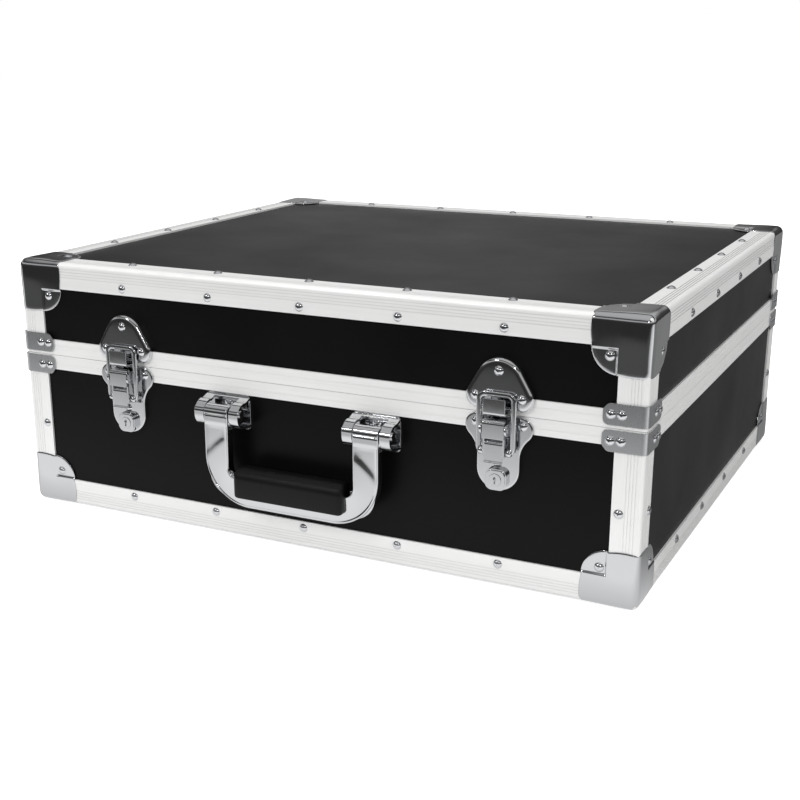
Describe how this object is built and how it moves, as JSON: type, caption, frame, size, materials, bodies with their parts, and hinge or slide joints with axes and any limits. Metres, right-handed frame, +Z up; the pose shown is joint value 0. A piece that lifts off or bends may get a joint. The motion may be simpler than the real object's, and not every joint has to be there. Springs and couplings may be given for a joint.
{
  "type": "record carrying case",
  "caption": "Flight-style record carrying case: black panels in riveted aluminium edges, chrome corner caps, hinged lid, draw latches and a swinging bail handle.",
  "frame": {"origin": "middle of the ground plane under the closed case with its handle down, on the undersides of the base's corner caps", "axes": "+Z up through the lid, -Y out of the front with the latches and the handle, +X to the right seen from the front"},
  "size_m": [0.5262, 0.4794, 0.2072],
  "materials": {
    "laminate": "black laminate on plywood, half gloss",
    "edging": "satin extrusion",
    "corner_steel": "bright plated steel",
    "rivet": "bright plated rivets",
    "chrome_steel": "bright plated steel",
    "hinge_steel": "zinc-plated steel",
    "grip": "black moulded grip, satin",
    "foam": "dark foam sheet",
    "board": "dark board",
    "rubber": "black rubber"
  },
  "bodies": {
    "base": {"base_bottom_panel": "laminate", "base_front_panel": "laminate", "base_right_panel": "laminate", "base_back_panel": "laminate", "base_left_panel": "laminate", "base_edge_front": "edging", "base_edge_right": "edging", "base_edge_back": "edging", "base_edge_left": "edging", "base_upright_edges": "edging", "base_rim_frame": "edging", "base_corner_caps": "corner_steel", "base_rim_braces": "corner_steel", "base_rivets": "rivet", "base_floor_pad": "foam", "base_wall_lining": "foam", "divider": "board", "divider_rails": "edging", "base_feet": "rubber", "handle_bracket_left": "chrome_steel", "handle_bracket_right": "chrome_steel", "handle_pins": "chrome_steel", "hinge_left_base_leaf": "hinge_steel", "hinge_right_base_leaf": "hinge_steel", "hinge_left_pin": "hinge_steel", "hinge_right_pin": "hinge_steel", "latch_left_plate": "chrome_steel", "latch_right_plate": "chrome_steel", "latch_left_lever_pin": "chrome_steel", "latch_right_lever_pin": "chrome_steel", "latch_left_lock_body": "chrome_steel", "latch_right_lock_body": "chrome_steel"},
    "lid": {"lid_top_panel": "laminate", "lid_front_panel": "laminate", "lid_right_panel": "laminate", "lid_back_panel": "laminate", "lid_left_panel": "laminate", "lid_edge_front": "edging", "lid_edge_right": "edging", "lid_edge_back": "edging", "lid_edge_left": "edging", "lid_upright_edges": "edging", "lid_rim_frame": "edging", "lid_corner_caps": "corner_steel", "lid_rim_braces": "corner_steel", "lid_rivets": "rivet", "lid_pad": "foam", "lid_feet": "rubber", "hinge_left_lid_leaf": "hinge_steel", "hinge_right_lid_leaf": "hinge_steel", "latch_left_keeper": "chrome_steel", "latch_right_keeper": "chrome_steel"},
    "handle": {"handle_bail": "chrome_steel", "handle_grip": "grip"},
    "latch_left_lever": {"latch_left_lever": "chrome_steel"},
    "latch_right_lever": {"latch_right_lever": "chrome_steel"},
    "latch_left_loop": {"latch_left_loop": "chrome_steel"},
    "latch_right_loop": {"latch_right_loop": "chrome_steel"},
    "latch_left_lock": {"latch_left_lock_cylinder": "chrome_steel"},
    "latch_right_lock": {"latch_right_lock_cylinder": "chrome_steel"}
  },
  "joints": [
    {"name": "lid_hinge", "type": "hinge", "parent": "base", "child": "lid", "pos_m": [0, 0.2349, 0.1287], "axis": [-1, 0, 0], "range_deg": [0, 95]},
    {"name": "handle_swing", "type": "hinge", "parent": "base", "child": "handle", "pos_m": [0, -0.2289, 0.1055], "axis": [-1, 0, 0], "range_deg": [0, 95]},
    {"name": "latch_left_lever_turn", "type": "hinge", "parent": "base", "child": "latch_left_lever", "pos_m": [-0.1575, -0.2247, 0.1202], "axis": [-1, 0, 0], "range_deg": [0, 140]},
    {"name": "latch_left_loop_turn", "type": "hinge", "parent": "latch_left_lever", "child": "latch_left_loop", "pos_m": [-0.1575, -0.22176, 0.1035], "axis": [-1, 0, 0], "range_deg": [-161, 0]},
    {"name": "latch_left_lock_turn", "type": "hinge", "parent": "base", "child": "latch_left_lock", "pos_m": [-0.1575, -0.2197, 0.0824], "axis": [0, -1, 0], "range_deg": [0, 90]},
    {"name": "latch_right_lever_turn", "type": "hinge", "parent": "base", "child": "latch_right_lever", "pos_m": [0.1575, -0.2247, 0.1202], "axis": [-1, 0, 0], "range_deg": [0, 140]},
    {"name": "latch_right_loop_turn", "type": "hinge", "parent": "latch_right_lever", "child": "latch_right_loop", "pos_m": [0.1575, -0.22176, 0.1035], "axis": [-1, 0, 0], "range_deg": [-161, 0]},
    {"name": "latch_right_lock_turn", "type": "hinge", "parent": "base", "child": "latch_right_lock", "pos_m": [0.1575, -0.2197, 0.0824], "axis": [0, -1, 0], "range_deg": [0, 90]}
  ],
  "couplings": [
    {"joint": "latch_left_loop_turn", "follows": "latch_left_lever_turn", "ratio": -1.15},
    {"joint": "latch_right_loop_turn", "follows": "latch_right_lever_turn", "ratio": -1.15}
  ]
}
